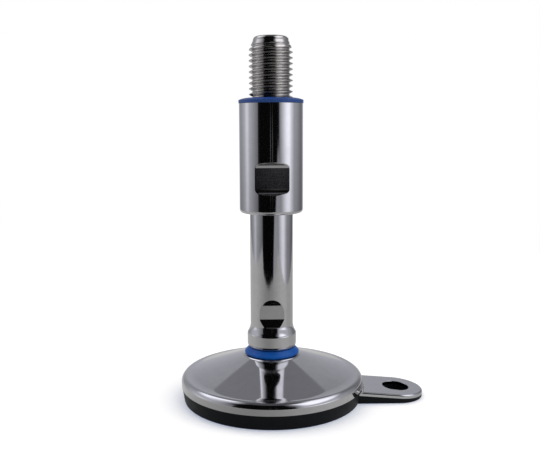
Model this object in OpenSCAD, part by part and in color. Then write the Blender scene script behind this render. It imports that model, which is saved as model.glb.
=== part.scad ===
// Hygienic levelling foot: dished base on a rubber sole, ball-jointed spindle, adjusting sleeve.
// Millimetres. The origin is on the spindle's axis at floor level, +Z points up the spindle, and
// the floor lug lies along +X.

/* [Base plate] */
// Diameter over the rim
plate_d = 103; // [96:0.5:116]
// Radius of the rounded rim
rim_round = 4.2; // [3:0.1:5]
// Height of the straight band below the rim's rounding
rim_band = 2.4; // [1.5:0.1:4]
// Width of the rim's lower edge
rim_w = 4.2; // [3:0.1:6]
// Slope of the dish where it runs into the rim, in degrees
rim_slope = 4; // [0:0.5:8]
// Diameter of the hub's flat top
hub_d = 30; // [28:0.5:34]
// Height of the hub's flat top above the floor
hub_h = 24.4; // [22.5:0.1:28]
// Wall thickness of the dish
plate_t = 5; // [4:0.1:6]

/* [Rubber pad] */
// Height of the rubber below the rim
pad_h = 7.9; // [7.2:0.1:10]
// Setback of the rubber from the steel above it
pad_inset = 0.3; // [0.1:0.1:1]
// Further setback of the pad's edge at the floor
pad_taper = 1.2; // [0:0.1:2]
// Rubber left below the hub
pad_floor = 3.5; // [3:0.1:4]
// Width of each ring groove in the tread
tread_w = 2.4; // [1:0.1:3]
// Depth of the ring grooves
tread_depth = 1.4; // [0.8:0.1:2]
// Spacing of the ring grooves
tread_pitch = 9; // [7:0.5:10]
// Number of ring grooves
tread_n = 4; // [2:1:4]

/* [Floor lug] */
// Distance from the rim to the middle of the bolt hole
lug_out = 19.7; // [16:0.1:26]
// Width of the lug and of its round end
lug_w = 30.4; // [26:0.1:34]
// Thickness of the lug's plate
lug_t = 2.2; // [1.8:0.1:2.6]
// Height of the lug's underside above the floor, below the rim
lug_lift = 4.4; // [4:0.1:4.8]
// Fall of the lug towards its end, so that water drains off, in degrees
lug_slope = 4.6; // [0:0.2:5]
// Rounding of the lug's upper edges
lug_round = 1; // [0.4:0.1:1.4]
// Diameter of the bolt hole
bolt_d = 15; // [9:0.5:17]
// Length of the lug that is buried in the rubber, inward from the rim
lug_root = 12; // [8:0.5:16]
// Setback of the rubber from the edge of the lug above it
lug_inset = 0.1; // [0.1:0.1:0.6]
// Radius of the weld bead between the rim and the lug
weld_r = 1.2; // [0.8:0.1:1.6]

/* [Ball joint] */
// Diameter of the ball
ball_d = 16; // [14:0.5:17]
// Depth of the ball's centre below the hub's top
ball_drop = 8.9; // [8:0.1:9.2]
// Diameter of the neck above the ball
neck_d = 11; // [9:0.5:11.5]
// Running gap all round the ball
ball_gap = 0.05; // [0.02:0.01:0.1]
// Diameter of the snap ring's wire
ring_wire = 1.6; // [1.2:0.1:1.8]
// Height of the snap ring's wire above the ball's centre
ring_up = 3.6; // [3:0.1:4]
// Opening between the snap ring's ends
ring_split = 3; // [2:0.1:5]
// Height of the seal between the hub and the collar
seal_h = 4.3; // [3.8:0.1:6]
// Diameter over the seal's lip
seal_d = 31; // [30:0.1:32.5]
// Diameter of the seal's foot on the hub
seal_foot_d = 27.4; // [25:0.1:28]
// Diameter of the seal's top under the collar
seal_top_d = 26.2; // [25.6:0.1:27.4]
// Height of the lip's lower edge above the hub
lip_up = 1.1; // [0.6:0.1:1.6]
// Height of the lip's outer face
lip_t = 1.3; // [1:0.1:2]
// Chamfer of the lip's edges
lip_edge = 0.3; // [0.1:0.1:0.5]
// Height by which the seal wraps up around the collar's rounding
seal_wrap = 1; // [0.6:0.1:1.3]
// Thickness of the seal's web around the neck
web_t = 1.6; // [1:0.1:2.4]
// Gap between the seal at rest and the faces that squeeze it
seal_gap = 0.1; // [0.05:0.01:0.2]

/* [Spindle] */
// Diameter of the shank and of its thread
bar_d = 24; // [22:0.5:26]
// Diameter of the collar above the seal
collar_d = 27.6; // [27:0.1:29]
// Height of the collar, to where its upper edge starts to round off
collar_h = 8.6; // [7:0.1:10]
// Rounding of the collar's lower edge
collar_round = 3.6; // [2:0.1:4]
// Rounding of the collar's upper edge
collar_edge = 2.6; // [1:0.1:4]
// Radius of the hollow flare between collar and shank
flare_r = 6.7; // [4:0.1:9]
// Length of the plain shank, from the collar's underside
shank_l = 106; // [100:0.5:112]
// Width of the relief groove between shank and thread
relief_w = 4; // [2:0.5:5]
// Depth of the relief groove
relief_t = 2.1; // [2:0.1:3]
// Length of the full thread
thread_l = 55.8; // [54:0.1:80]
// Length of the thread's lead-in chamfer
lead_chamfer = 5.1; // [3:0.1:7]
// Diameter of the plain lead
lead_d = 19.4; // [17:0.1:20]
// Length of the plain lead, with its rounded end
lead_l = 2.3; // [2.3:0.1:6]
// Rounding of the lead's end
lead_round = 2.2; // [1:0.1:2.3]
// Width across the spindle's flats
flats_af = 19.7; // [18.5:0.1:20.5]
// Length of the spindle's flats at full depth
flats_l = 3; // [2:0.1:8]
// Height of the flats' lower end above the collar's underside
flats_up = 18.6; // [17:0.1:24]
// Radius of the long sweep in which each flat runs out at its top
flats_sweep = 18; // [10:0.5:30]
// Height over which each flat runs out towards the collar
flats_run_low = 4.5; // [3:0.1:5.5]
// Turn of the flats from the front, in degrees
flats_turn = 0; // [-90:1:90]

/* [Sleeve] */
// Outer diameter of the sleeve
sleeve_d = 35; // [34:0.5:40]
// Length of the sleeve
sleeve_l = 60; // [58:0.5:70]
// Height of the sleeve's lower end above the collar's underside
sleeve_up = 77.5; // [74:0.5:84]
// Rounding of the sleeve's lower edge
sleeve_round = 2; // [0.5:0.1:2.5]
// Length of the threaded part of the bore
nut_l = 18; // [14:0.5:22]
// Length of the guide at the lower end of the bore
guide_l = 10; // [8:0.5:12]
// Radial gap in the thread and in the guide
sleeve_gap = 0.1; // [0.05:0.01:0.15]
// Radial depth of the clearance between guide and thread
bore_relief = 0.6; // [0.3:0.1:1]
// Width across the sleeve's flats
grip_af = 29.7; // [28.5:0.1:32]
// Length of the sleeve's flats at full depth
grip_l = 11.1; // [8:0.1:14]
// Height of the flats' lower end above the sleeve's lower end
grip_up = 14; // [12:0.1:24]
// Radius of the hollow in which each of the sleeve's flats ends
grip_cove = 3; // [2.7:0.1:6]
// Turn of the sleeve's flats from the front, in degrees
grip_turn = 1; // [-90:1:90]

/* [Seals of the sleeve] */
// Overhang of the gasket past the sleeve, all round
gasket_over = 0.3; // [0:0.1:1]
// Height of the gasket's crown above the sleeve
gasket_h = 2.9; // [2.3:0.1:4]
// Height of the gasket's outer edge
gasket_edge = 1.7; // [1:0.1:2.1]
// Depth of the gasket's foot in the sleeve
gasket_foot = 1.5; // [0.8:0.1:3]
// Width of the gasket's foot
gasket_foot_w = 2.4; // [1.5:0.1:3]
// Radial gap between a seal at rest and the bar inside it
soft_gap = 0.3; // [0.2:0.05:0.5]
// Height of the wiper ring
wiper_h = 3; // [2:0.1:4]
// Radial depth of the wiper ring's groove
wiper_groove = 2.3; // [1.6:0.1:2.6]
// Height of the wiper ring's groove above the sleeve's lower end
wiper_up = 2.8; // [2:0.1:4]
// Running gap around the wiper ring
wiper_gap = 0.05; // [0.03:0.01:0.1]

/* [Hidden] */
$fn = 128;

// Overshoot of cutters past the faces that they open
over = 1;
steel = [0.74, 0.74, 0.76];
rubber = [0.07, 0.08, 0.09];
blue = [0.06, 0.22, 0.5];

// The dish is an arc that starts at the hub's edge and runs smoothly into the rim's rounding
plate_r = plate_d / 2;
hub_r = hub_d / 2;
rim_c = [plate_r - rim_round, pad_h + rim_band];
rim_n = [sin(rim_slope), cos(rim_slope)];
rim_p = rim_c + rim_round * rim_n;
dish_w = rim_p - [hub_r, hub_h];
dish_r = -(dish_w * dish_w) / (2 * (dish_w * rim_n));
dish_c = rim_p + dish_r * rim_n;
rim_in = plate_r - rim_w;
lug_x = plate_r + lug_out;
lug_end = plate_r + lug_out / cos(lug_slope);

ball_r = ball_d / 2;
ball_z = hub_h - ball_drop;
seat_r = ball_r + ball_gap;
ring_r = sqrt(pow(seat_r + ring_wire / 2, 2) - ring_up * ring_up);
collar_z = hub_h + seal_h;

bar_r = bar_d / 2;
collar_r = collar_d / 2;
flats_t = (bar_d - flats_af) / 2;
// The collar's upper rounding and the hollow flare above it meet in one smooth curve
edge_z = collar_z + collar_h;
flare_turn = acos(1 - (collar_r - bar_r) / (collar_edge + flare_r));
flare_z = edge_z + (collar_edge + flare_r) * sin(flare_turn);
flare_p = [collar_r - collar_edge * (1 - cos(flare_turn)), edge_z + collar_edge * sin(flare_turn)];
relief_z = collar_z + shank_l;
thread_z = relief_z + relief_w;
chamfer_z = thread_z + thread_l;
lead_z = chamfer_z + lead_chamfer;
tip_z = lead_z + lead_l;

sleeve_r = sleeve_d / 2;
sleeve_z = collar_z + sleeve_up;
sleeve_top = sleeve_z + sleeve_l;
bore_r = bar_r + sleeve_gap;
groove_r = bore_r + wiper_groove;
gasket_r = sleeve_r + gasket_over;
gasket_in = bar_r + soft_gap;
gasket_rise = gasket_h - gasket_edge;
gasket_arc = (pow(gasket_r - gasket_in, 2) + gasket_rise * gasket_rise) / (2 * gasket_rise);
// Thread below the gasket, which meshes inside the sleeve, is drawn this much smaller in radius
mesh_step = 0.25;
stud_z = sleeve_top + gasket_h + soft_gap;

// Square corner less its round: cuts a rounding of radius r at the origin's corner (+X, +Y side)
module corner(r) {
    difference() {
        square(r + over);
        circle(r);
    }
}

// Rounds the lower outer edge at [x, z] of a profile
module round_low(x, z, r) {
    translate([x - r, z + r]) mirror([0, 1]) corner(r);
}

// Rounds the upper outer edge at [x, z] of a profile
module round_high(x, z, r) {
    translate([x - r, z - r]) corner(r);
}

// End of a flat's cutter: a hollow of radius r that leaves the flat smoothly
module flat_end(depth, r) {
    hollow = max(r, depth);
    intersection() {
        translate([-hollow, 0]) circle(hollow, $fn = 180);
        translate([-depth - over, 0]) square([depth + over, hollow]);
    }
}

// Two opposite spanner flats, l long at full depth and hollowed out of the bar at their tops. The
// child is the section of the cutter below them.
module spanner_flats(d, af, z, l, r, turn) {
    depth = (d - af) / 2;
    for (side = [0, 180]) {
        rotate(turn + side) translate([-d / 2, -af / 2, z]) rotate([90, 0, 90])
            linear_extrude(d) {
                translate([-depth - over, 0]) square([depth + over, l]);
                translate([0, l]) flat_end(depth, r);
                children();
            }
    }
}

// Half section of the plate's outside: rim band, rounded rim, hollow dish, flat hub
module plate_outside() {
    difference() {
        union() {
            translate([0, pad_h]) square([plate_r, rim_band]);
            polygon([[0, rim_c.y], rim_c, rim_p, [rim_p.x, hub_h], [0, hub_h]]);
            translate([0, pad_floor]) square([hub_r, hub_h - pad_floor]);
        }
        translate(dish_c) circle(dish_r, $fn = 360);
    }
    intersection() {
        translate(rim_c) circle(rim_round);
        translate([rim_c.x - rim_round, rim_c.y]) square(2 * rim_round);
    }
}

// Half section of the hollow under the dish, down to the floor
module plate_hollow() {
    difference() {
        translate([hub_r, 0]) square([rim_in - hub_r, hub_h]);
        translate(dish_c) circle(dish_r + plate_t, $fn = 360);
    }
}

module base_plate() {
    color(steel) difference() {
        rotate_extrude() difference() {
            plate_outside();
            plate_hollow();
        }
        translate([0, 0, ball_z]) sphere(seat_r);
        translate([0, 0, ball_z]) cylinder(r = seat_r, h = ball_drop + over);
        translate([0, 0, ball_z + ring_up]) rotate_extrude()
            translate([ring_r, 0]) circle(ring_wire / 2 + ball_gap);
    }
}

// Half section of the lug across its width
module lug_section() {
    difference() {
        square([lug_w / 2, lug_t]);
        round_high(lug_w / 2, lug_t, lug_round);
    }
}

// Lays its children along the lug, which falls from the rim towards its end
module along_lug() {
    translate([plate_r, 0, lug_lift]) rotate([0, lug_slope, 0]) translate([-plate_r, 0, 0]) children();
}

// Plan of a tongue of half width w that runs out to the bolt hole and ends round
module tongue_plan(w, from) {
    translate([from, -w]) square([lug_x - from, 2 * w]);
    translate([lug_x, 0]) circle(w);
}

// Bolt hole, square to the floor, through the lug and the rubber below it
module bolt_hole() {
    translate([lug_x, 0, -over]) cylinder(d = bolt_d, h = lug_lift + lug_t + 2 * over);
}

// Bead that joins the lug's top to the rim's lower edge
module weld_bead() {
    bead_z = lug_lift + lug_t;
    intersection() {
        rotate_extrude() difference() {
            union() {
                translate([rim_in, bead_z - over]) square([rim_w, pad_h - bead_z + over]);
                translate([plate_r, bead_z]) circle(weld_r);
            }
            translate([0, pad_h]) square([plate_r, weld_r + over]);
        }
        translate([0, -lug_w / 2 + 2 * lug_round, lug_lift]) cube([plate_d, lug_w - 4 * lug_round, pad_h]);
    }
}

module lug_body() {
    along_lug() {
        translate([rim_in - lug_root, 0, 0]) rotate([90, 0, 90])
            linear_extrude(lug_end - rim_in + lug_root) {
                lug_section();
                mirror([1, 0]) lug_section();
            }
        translate([lug_end, 0, 0]) rotate_extrude() lug_section();
    }
    weld_bead();
}

module floor_lug() {
    color(steel) difference() {
        lug_body();
        bolt_hole();
    }
}

// Half section of the rubber: tapered sole with ring grooves, filling the hollow around the hub
module pad_section() {
    difference() {
        union() {
            polygon([[0, 0], [plate_r - pad_inset - pad_taper, 0], [plate_r - pad_inset, pad_h], [0, pad_h]]);
            plate_hollow();
        }
        translate([-over, pad_floor]) square([hub_r + over, hub_h]);
        for (i = [1 : tread_n]) {
            translate([i * tread_pitch - tread_w / 2, -over]) square([tread_w, tread_depth + over]);
        }
    }
}

// Rubber below the lug, from the floor up to the lug's underside
module lug_sole() {
    difference() {
        linear_extrude(lug_lift + over) tongue_plan(lug_w / 2 - lug_inset, rim_in - rim_w);
        along_lug() translate([0, -lug_w, 0]) cube([2 * plate_d, 2 * lug_w, 2 * pad_h]);
    }
}

module rubber_pad() {
    color(rubber) difference() {
        union() {
            rotate_extrude() pad_section();
            lug_sole();
        }
        lug_body();
        bolt_hole();
    }
}

module retaining_ring() {
    color(steel) translate([0, 0, ball_z + ring_up]) difference() {
        rotate_extrude() translate([ring_r, 0]) circle(ring_wire / 2 - ball_gap);
        translate([0, -ring_split / 2, -ring_wire]) cube([ball_d, ring_split, 2 * ring_wire]);
    }
}

// Ring with a thin outer lip, squeezed between the hub's top and the collar's rounded underside
module joint_seal() {
    lip_r = seal_d / 2;
    inner = neck_d / 2 + soft_gap;
    mouth = seat_r + soft_gap;
    face_r = collar_r - collar_round;
    web_z = seal_h - seal_gap - web_t;
    color(blue) translate([0, 0, hub_h]) rotate_extrude() difference() {
        polygon([
            [mouth, seal_gap],
            [seal_foot_d / 2, seal_gap],
            [lip_r - lip_edge, lip_up],
            [lip_r, lip_up + lip_edge],
            [lip_r, lip_up + lip_t - lip_edge],
            [lip_r - lip_edge, lip_up + lip_t],
            [seal_top_d / 2, seal_h + seal_wrap],
            [inner, seal_h + seal_wrap],
            [inner, web_z],
            [mouth, web_z]
        ]);
        translate([0, seal_h - seal_gap]) square([face_r, seal_gap + seal_wrap + over]);
        translate([face_r, seal_h + collar_round]) circle(collar_round + seal_gap);
    }
}

// Half section of the turned bar, from the neck up
module bar_section() {
    difference() {
        union() {
            translate([0, ball_z]) square([neck_d / 2, edge_z - ball_z]);
            translate([0, collar_z]) square([collar_r, collar_h]);
        }
        round_low(collar_r, collar_z, collar_round);
    }
    translate([0, edge_z]) square([collar_r - collar_edge, flare_z - edge_z]);
    intersection() {
        translate([collar_r - collar_edge, edge_z]) circle(collar_edge);
        translate([0, edge_z]) square([collar_r, flare_p.y - edge_z]);
    }
    difference() {
        translate([0, flare_p.y]) square([flare_p.x, flare_z - flare_p.y]);
        translate([bar_r + flare_r, flare_z]) circle(flare_r);
    }
    translate([0, flare_z]) square([bar_r, relief_z - flare_z]);
    translate([0, relief_z]) square([bar_r - relief_t, relief_w]);
    translate([0, thread_z]) square([bar_r - mesh_step, stud_z - thread_z]);
    translate([0, stud_z]) square([bar_r, chamfer_z - stud_z]);
    polygon([[0, chamfer_z], [bar_r, chamfer_z], [lead_d / 2, lead_z], [0, lead_z]]);
    difference() {
        translate([0, lead_z]) square([lead_d / 2, lead_l]);
        round_high(lead_d / 2, tip_z, lead_round);
    }
}

module spindle() {
    color(steel) difference() {
        union() {
            translate([0, 0, ball_z]) sphere(ball_r);
            rotate_extrude() bar_section();
        }
        spanner_flats(bar_d, flats_af, collar_z + flats_up, flats_l, flats_sweep, flats_turn)
            polygon([[0, 0], [-flats_t - over, 0], [-flats_t - over, -flats_run_low * (1 + over / flats_t)]]);
    }
}

module wiper_seal() {
    inner = bar_r + wiper_gap;
    outer = groove_r - wiper_gap;
    lip = wiper_h / 4;
    color(blue) translate([0, 0, sleeve_z + wiper_up + wiper_gap]) rotate_extrude()
        polygon([
            [inner, lip],
            [inner + lip, 0],
            [outer, 0],
            [outer, wiper_h],
            [inner + lip, wiper_h],
            [inner, wiper_h - lip]
        ]);
}

module sleeve() {
    color(steel) difference() {
        rotate_extrude() difference() {
            translate([bore_r, sleeve_z]) square([sleeve_r - bore_r, sleeve_l]);
            round_low(sleeve_r, sleeve_z, sleeve_round);
            translate([0, sleeve_z + guide_l])
                square([bore_r + bore_relief, sleeve_l - guide_l - nut_l]);
            translate([0, sleeve_z + wiper_up]) square([groove_r, wiper_h + 2 * wiper_gap]);
            translate([0, sleeve_top - gasket_foot])
                square([gasket_in + gasket_foot_w, gasket_foot + over]);
        }
        spanner_flats(sleeve_d, grip_af, sleeve_z + grip_up, grip_l, grip_cove, grip_turn)
            mirror([0, 1]) flat_end((sleeve_d - grip_af) / 2, grip_cove);
    }
}

// Gasket with a crowned top and a foot let into the sleeve's end
module frame_seal() {
    color(blue) rotate_extrude() {
        intersection() {
            translate([gasket_in, sleeve_top]) square([gasket_r - gasket_in, gasket_h]);
            translate([gasket_in, sleeve_top + gasket_h - gasket_arc]) circle(gasket_arc);
        }
        translate([gasket_in, sleeve_top - gasket_foot]) square([gasket_foot_w, gasket_foot]);
    }
}

base_plate();
floor_lug();
rubber_pad();
retaining_ring();
joint_seal();
spindle();
wiper_seal();
sleeve();
frame_seal();
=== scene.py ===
import math

import bmesh
import bpy
import numpy as np
from mathutils import Matrix, Vector


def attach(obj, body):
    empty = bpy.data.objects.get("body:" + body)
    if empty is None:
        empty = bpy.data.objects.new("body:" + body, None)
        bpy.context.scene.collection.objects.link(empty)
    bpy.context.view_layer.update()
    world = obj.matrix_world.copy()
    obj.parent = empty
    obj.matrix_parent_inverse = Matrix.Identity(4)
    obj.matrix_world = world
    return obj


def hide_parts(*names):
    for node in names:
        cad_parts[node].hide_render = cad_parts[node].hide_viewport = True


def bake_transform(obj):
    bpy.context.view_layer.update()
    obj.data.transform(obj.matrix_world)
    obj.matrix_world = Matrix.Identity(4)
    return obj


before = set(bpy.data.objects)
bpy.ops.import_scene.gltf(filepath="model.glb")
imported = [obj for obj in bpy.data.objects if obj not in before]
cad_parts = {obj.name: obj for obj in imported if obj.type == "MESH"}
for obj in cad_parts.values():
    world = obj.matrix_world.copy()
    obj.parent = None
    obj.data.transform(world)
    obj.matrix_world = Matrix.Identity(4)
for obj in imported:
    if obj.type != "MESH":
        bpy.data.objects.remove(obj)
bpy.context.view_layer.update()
mm = 0.001
print("frame loaded:", ", ".join(sorted(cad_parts)))


# node helpers

def addNode(tree, kind, sockets=None, **settings):
    node = tree.nodes.new(kind)
    for key, value in settings.items():
        setattr(node, key, value)
    for key, value in (sockets or {}).items():
        node.inputs[key].default_value = value
    return node


def feed(tree, socket, term):
    # numbers and colours become the socket's own value, anything else is linked to it
    if isinstance(term, (int, float)):
        socket.default_value = term
    elif isinstance(term, tuple):
        socket.default_value = (*term, 1.0)
    else:
        tree.links.new(term, socket)


def doMath(tree, operation, *terms):
    node = addNode(tree, "ShaderNodeMath", operation=operation)
    for index, term in enumerate(terms):
        feed(tree, node.inputs[index], term)
    return node.outputs[0]


def remap(tree, value, fromLow, fromHigh, toLow, toHigh, curve="LINEAR"):
    node = addNode(tree, "ShaderNodeMapRange", interpolation_type=curve)
    terms = {"Value": value, "From Min": fromLow, "From Max": fromHigh, "To Min": toLow, "To Max": toHigh}
    for name, term in terms.items():
        feed(tree, node.inputs[name], term)
    return node.outputs["Result"]


def mixColour(tree, share, first, second):
    node = addNode(tree, "ShaderNodeMix", data_type="RGBA")
    for index, term in ((0, share), (6, first), (7, second)):
        feed(tree, node.inputs[index], term)
    return node.outputs[2]


def noise(tree, place, scale, detail, roughness=0.5, **settings):
    sockets = {"Scale": scale, "Detail": detail, "Roughness": roughness}
    node = addNode(tree, "ShaderNodeTexNoise", sockets, **settings)
    tree.links.new(place, node.inputs["Vector"])
    return node.outputs["Fac"]


def bump(tree, height, strength, distance, below=None):
    node = addNode(tree, "ShaderNodeBump", {"Distance": distance})
    tree.links.new(height, node.inputs["Height"])
    feed(tree, node.inputs["Strength"], strength)
    if below:
        tree.links.new(below, node.inputs["Normal"])
    return node.outputs[0]


def newMaterial(name):
    material = bpy.data.materials.new(name)
    material.use_nodes = True
    tree = material.node_tree
    place = addNode(tree, "ShaderNodeTexCoord").outputs["Object"]
    return material, tree, tree.nodes["Principled BSDF"].inputs, place


# materials

steelLooks = {
    "mirrorSteel": {
        "tone": (0.530, 0.522, 0.530), "toneWorn": (0.500, 0.492, 0.500),
        "rough": (0.045, 0.075), "ringScale": 5200.0, "ringBump": 0.010, "waveScale": 55.0, "waveBump": 0.012,
    },
    "dishSteel": {
        "tone": (0.530, 0.522, 0.532), "toneWorn": (0.500, 0.492, 0.500),
        "rough": (0.055, 0.095), "ringScale": 4200.0, "ringBump": 0.012, "waveScale": 45.0, "waveBump": 0.010,
    },
    "lugSteel": {
        "tone": (0.520, 0.520, 0.528), "toneWorn": (0.480, 0.480, 0.488),
        "rough": (0.10, 0.16), "ringScale": 3000.0, "ringBump": 0.015, "waveScale": 90.0, "waveBump": 0.02,
    },
    "threadSteel": {
        "tone": (0.500, 0.480, 0.455), "toneWorn": (0.430, 0.410, 0.390),
        "rough": (0.08, 0.13), "ringScale": 4200.0, "ringBump": 0.004, "waveScale": 200.0, "waveBump": 0.003,
    },
    "springSteel": {
        "tone": (0.42, 0.42, 0.43), "toneWorn": (0.34, 0.34, 0.35),
        "rough": (0.22, 0.34), "ringScale": 3000.0, "ringBump": 0.04, "waveScale": 200.0, "waveBump": 0.03,
    },
}


milledLook = {"stretch": (60.0, 60.0, 4200.0), "rough": (0.06, 0.11), "bump": 0.05}


def makeSteel(name):
    look = steelLooks[name]
    material, tree, shader, place = newMaterial(name)
    link = tree.links.new
    shader["Metallic"].default_value = 1.0
    split = addNode(tree, "ShaderNodeSeparateXYZ")
    link(place, split.inputs[0])
    # turning marks: noise that depends on the distance from the axis and the height only
    radius = doMath(tree, "SQRT", doMath(tree, "ADD",
                    doMath(tree, "MULTIPLY", split.outputs["X"], split.outputs["X"]),
                    doMath(tree, "MULTIPLY", split.outputs["Y"], split.outputs["Y"])))
    section = addNode(tree, "ShaderNodeCombineXYZ")
    link(radius, section.inputs["X"])
    link(split.outputs["Z"], section.inputs["Y"])
    rings = noise(tree, section.outputs[0], look["ringScale"], 2.0, noise_dimensions="2D")
    # hand polish: slow waves and faint smudges
    waves = noise(tree, place, look["waveScale"], 1.0)
    smudges = noise(tree, place, look["waveScale"] * 5, 5.0, 0.6)
    worn = remap(tree, smudges, 0.38, 0.72, 0.0, 1.0)
    link(mixColour(tree, worn, look["tone"], look["toneWorn"]), shader["Base Color"])
    # milled flats carry level cutter lines
    milled = addNode(tree, "ShaderNodeAttribute", attribute_name="milled").outputs["Fac"]
    stretch = addNode(tree, "ShaderNodeMapping", {"Scale": milledLook["stretch"]})
    link(place, stretch.inputs["Vector"])
    cutter = noise(tree, stretch.outputs[0], 1.0, 3.0, 0.65)
    polish = remap(tree, smudges, 0.3, 0.75, *look["rough"])
    cut = remap(tree, cutter, 0.3, 0.7, *milledLook["rough"])
    link(remap(tree, milled, 0.0, 1.0, polish, cut), shader["Roughness"])
    wavy = bump(tree, waves, look["waveBump"], 0.004)
    ringed = bump(tree, rings, look["ringBump"], 0.0002, wavy)
    lined = bump(tree, cutter, doMath(tree, "MULTIPLY", milled, milledLook["bump"]), 0.0002, ringed)
    link(lined, shader["Normal"])
    return material


weldLook = {
    "tone": (0.46, 0.45, 0.45), "toneHot": (0.34, 0.30, 0.27), "rough": (0.16, 0.34), "scaleBump": 0.15,
}


def makeWeld():
    material, tree, shader, place = newMaterial("weldSteel")
    link = tree.links.new
    shader["Metallic"].default_value = 1.0
    scale = noise(tree, place, 900.0, 4.0)
    tint = noise(tree, place, 260.0, 2.0)
    link(mixColour(tree, tint, weldLook["tone"], weldLook["toneHot"]), shader["Base Color"])
    link(remap(tree, scale, 0.3, 0.7, *weldLook["rough"]), shader["Roughness"])
    link(bump(tree, scale, weldLook["scaleBump"], 0.0003), shader["Normal"])
    return material


rubberLooks = {
    "soleRubber": {
        "tone": (0.0030, 0.0042, 0.0062), "toneWorn": (0.0055, 0.0068, 0.0090), "rough": (0.42, 0.60),
        "level": 0.12, "grain": 2600.0, "grainBump": 0.10, "patch": 120.0,
    },
    "sealRubber": {
        "tone": (0.0, 0.070, 0.345), "toneWorn": (0.0, 0.086, 0.385), "rough": (0.30, 0.42),
        "level": 0.24, "grain": 3000.0, "grainBump": 0.05, "patch": 160.0,
    },
    "gasketRubber": {
        "tone": (0.013, 0.056, 0.240), "toneWorn": (0.018, 0.066, 0.265), "rough": (0.36, 0.50),
        "level": 0.4, "grain": 3000.0, "grainBump": 0.05, "patch": 160.0,
    },
}


def makeRubber(name):
    look = rubberLooks[name]
    material, tree, shader, place = newMaterial(name)
    link = tree.links.new
    shader["Specular IOR Level"].default_value = look["level"]
    grain = noise(tree, place, look["grain"], 3.0, 0.6)
    patch = noise(tree, place, look["patch"], 4.0, 0.65)
    worn = remap(tree, patch, 0.35, 0.7, 0.0, 1.0)
    link(mixColour(tree, worn, look["tone"], look["toneWorn"]), shader["Base Color"])
    link(remap(tree, patch, 0.3, 0.7, *look["rough"]), shader["Roughness"])
    link(bump(tree, grain, look["grainBump"], 0.0002), shader["Normal"])
    return material


finish = {name: makeSteel(name) for name in steelLooks}
finish.update({name: makeRubber(name) for name in rubberLooks})
finish["weldSteel"] = makeWeld()
print("materials made:", len(finish))


# section and mesh helpers; sections are (radius, height) points in millimetres

def arc(centre, radius, start, end, steps):
    angles = np.radians(np.linspace(start, end, steps + 1))
    return [(centre[0] + radius * math.cos(a), centre[1] + radius * math.sin(a)) for a in angles]


def soften(points, index, reach, steps=6):
    # trades the corner at index for a small rounding that starts a distance of reach before it
    before, corner, after = (np.array(points[(index + k) % len(points)]) for k in (-1, 0, 1))
    start = corner + (before - corner) / np.linalg.norm(before - corner) * reach
    end = corner + (after - corner) / np.linalg.norm(after - corner) * reach
    turn = [tuple((1 - t) ** 2 * start + 2 * t * (1 - t) * corner + t * t * end)
            for t in np.linspace(0, 1, steps + 1)]
    return points[:index] + turn + points[index + 1:]


def softenAll(points, reaches):
    # reaches: corner's index in points -> reach; later corners first, so that the indices hold
    for index in sorted(reaches, reverse=True):
        points = soften(points, index, reaches[index])
    return points


def propped(points, closed, gap=0.07):
    # extra points near the ends of long straights keep their reflections straight
    result = []
    count = len(points) if closed else len(points) - 1
    for i in range(count):
        a, b = np.array(points[i]), np.array(points[(i + 1) % len(points)])
        length = np.linalg.norm(b - a)
        result.append(tuple(a))
        if length > 8 * gap:
            result += [tuple(a + (b - a) * gap / length), tuple(b - (b - a) * gap / length)]
    return result if closed else result + [tuple(points[-1])]


def flatPlane(height, flats):
    # distance of a flat from the axis: level in the middle, hollowed or ramped out to the bar at its ends
    up = np.clip(height - flats["high"], 0, 0.999 * flats["sweep"])
    plane = flats["across"] / 2 + flats["sweep"] - np.sqrt(flats["sweep"] ** 2 - up ** 2)
    down = np.clip(flats["low"] - height, 0, None)
    if flats["ramp"]:
        return plane + down * flats["ramp"] + flats["endSlope"] * np.clip(down - flats["runOut"], 0, None)
    down = np.minimum(down, 0.999 * flats["sweep"])
    return plane + flats["sweep"] - np.sqrt(flats["sweep"] ** 2 - down ** 2)


def cutFlats(radius, height, angle, flats):
    # two opposite spanner flats, averaged over a small patch as polishing rounds their edges
    total = np.zeros_like(radius)
    steps = np.linspace(-1, 1, 7)
    weights = np.exp(-2.0 * steps ** 2)
    for rise, riseWeight in zip(steps, weights):
        plane = flatPlane(height + rise * flats["polish"], flats)
        for shift, shiftWeight in zip(steps, weights):
            local = radius
            for side in (-90, 90):
                about = angle + shift * flats["polish"] / flats["bar"] * 2
                facing = np.cos(about - math.radians(flats["turn"] + side))
                reach = np.where(facing > 0.3, plane / np.maximum(facing, 0.3), 999.0)
                local = np.minimum(local, reach)
            total = total + local * riseWeight * shiftWeight
    return total / weights.sum() ** 2


def flatRows(flats, step=0.25):
    # heights that follow the hollow ends of the flats closely
    ends = [flats["high"] + flats["sweep"] * math.sin(a) for a in np.linspace(0, flats["turnOut"], 40)]
    if flats["ramp"]:
        lows = list(np.linspace(flats["low"] - flats["runOut"], flats["low"], 32))
    else:
        lows = [flats["low"] - flats["sweep"] * math.sin(a) for a in np.linspace(flats["turnOut"], 0, 40)]
    spare = 2 * flats["polish"]
    under = list(np.linspace(lows[0] - spare, lows[0], 9)[:-1])
    over = list(np.linspace(ends[-1], ends[-1] + spare, 9)[1:])
    count = max(2, round((ends[0] - lows[-1]) / step))
    middle = list(np.linspace(lows[-1], ends[0], count + 1)[1:-1])
    return under + lows + middle + ends + over


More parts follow.
